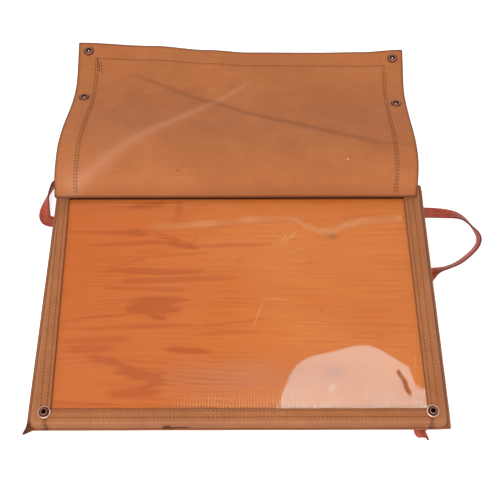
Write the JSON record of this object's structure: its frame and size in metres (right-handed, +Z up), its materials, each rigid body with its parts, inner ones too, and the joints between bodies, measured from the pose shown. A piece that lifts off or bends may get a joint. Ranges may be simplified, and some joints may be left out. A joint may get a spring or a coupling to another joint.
{
  "type": "map case",
  "caption": "Canvas map case lying open: plywood board under a clear window, flap turned back, snaps, and a narrow leather strap.",
  "frame": {"origin": "middle of the footprint, on the surface that the case lies on", "axes": "+X to the right along the front edge, +Y from the front edge to the flap, +Z up"},
  "size_m": [0.5028, 0.5062, 0.0429],
  "materials": {
    "canvas_outer": "worn brown cotton duck",
    "canvas_inner": "worn brown cotton duck, inner side",
    "plywood": "smooth plywood with a broad grain",
    "clear_film": "clear, amber toned and wavy",
    "leather": "red brown, worn",
    "aged_brass": "tarnished, with bright rims"
  },
  "bodies": {
    "root": {"board": "plywood", "window_film": "clear_film", "back_panel": "canvas_outer", "border_bottom": "canvas_outer", "border_top": "canvas_outer", "border_left": "canvas_outer", "border_right": "canvas_outer", "stud_left": "aged_brass", "stud_right": "aged_brass", "flap": "canvas_inner", "socket_left_end": "aged_brass", "socket_left_mid": "aged_brass", "socket_right_end": "aged_brass", "socket_right_mid": "aged_brass", "cap_left_end": "aged_brass", "cap_left_mid": "aged_brass", "cap_right_end": "aged_brass", "cap_right_mid": "aged_brass", "strap": "leather"}
  },
  "joints": []
}
